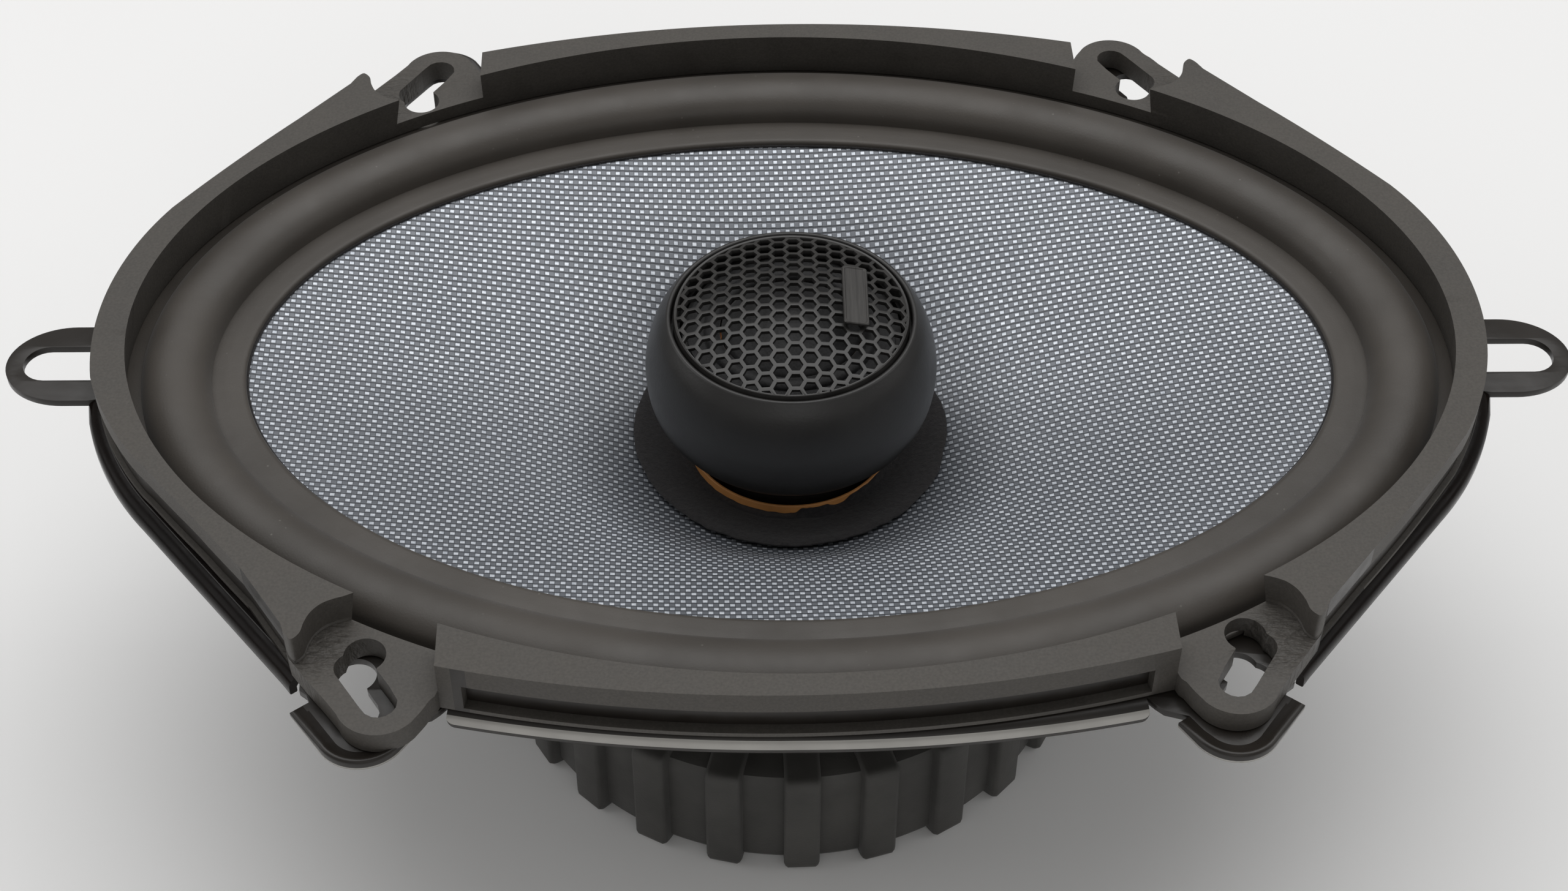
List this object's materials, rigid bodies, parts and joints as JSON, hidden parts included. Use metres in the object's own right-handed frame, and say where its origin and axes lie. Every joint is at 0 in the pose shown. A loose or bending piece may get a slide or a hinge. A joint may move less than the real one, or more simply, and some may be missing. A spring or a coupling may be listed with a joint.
{
  "type": "coaxial car speaker",
  "caption": "Oval coaxial car speaker with a slotted flange, a woven cone on a rubber surround and a round tweeter pod under a domed grille.",
  "frame": {"origin": "middle of the magnet boot's flat back, under the middle of the bounding box", "axes": "+X along the long axis through both end tabs, +Y across the short axis, +Z towards the listener"},
  "size_m": [0.23, 0.147, 0.0762],
  "materials": {
    "black_painted_steel": "satin black paint",
    "charcoal_plastic": "fine grained dark grey moulding",
    "black_plastic": "satin black moulding",
    "surround_rubber": "soft satin",
    "boot_rubber": "matte black",
    "glass_fibre_weave": "blue grey plain weave, lacquered",
    "black_paper": "soft black paper",
    "former_film": "amber film",
    "copper_winding": "enamelled copper wire",
    "spider_cloth": "resin treated cloth",
    "zinc_plated_steel": "bright zinc",
    "ferrite": "sintered ceramic magnet",
    "phenolic_board": "paper laminate",
    "tinned_brass": "tinned",
    "capacitor_sleeve": "shrink sleeve",
    "dome_silk": "coated silk",
    "grille_steel": "satin black paint",
    "badge_plate": "dark anodised, blank"
  },
  "bodies": {
    "frame": {"basket": "black_painted_steel", "front_gasket": "charcoal_plastic", "surround": "surround_rubber", "spider": "spider_cloth", "top_plate": "zinc_plated_steel", "magnet": "ferrite", "t_yoke": "zinc_plated_steel", "magnet_boot": "boot_rubber", "seat_rivet_1": "zinc_plated_steel", "seat_rivet_2": "zinc_plated_steel", "seat_rivet_3": "zinc_plated_steel", "seat_rivet_4": "zinc_plated_steel", "terminal_board": "phenolic_board", "terminal_positive": "tinned_brass", "terminal_negative": "tinned_brass", "board_rivet_1": "zinc_plated_steel", "board_rivet_2": "zinc_plated_steel", "crossover_capacitor": "capacitor_sleeve", "tweeter_post": "black_plastic", "post_screw": "zinc_plated_steel", "tweeter_housing": "black_plastic", "tweeter_yoke": "zinc_plated_steel", "tweeter_magnet": "zinc_plated_steel", "tweeter_pole_plate": "zinc_plated_steel", "tweeter_face_ring": "black_plastic", "tweeter_surround": "dome_silk", "grille": "grille_steel", "badge": "badge_plate"},
    "cone_set": {"cone": "glass_fibre_weave", "neck_ring": "black_paper", "voice_coil_former": "former_film", "voice_coil": "copper_winding"},
    "dome_set": {"tweeter_dome": "dome_silk", "tweeter_former": "former_film", "tweeter_coil": "copper_winding"}
  },
  "joints": [
    {"name": "cone_travel", "type": "slide", "parent": "frame", "child": "cone_set", "axis": [0, 0, 1], "range_m": [-0.003, 0.003], "stiffness_N_per_m": 2500, "deforming": ["surround", "spider"]},
    {"name": "dome_travel", "type": "slide", "parent": "frame", "child": "dome_set", "axis": [0, 0, 1], "range_m": [-0.0003, 0.0003], "stiffness_N_per_m": 60, "deforming": ["tweeter_surround"]}
  ]
}
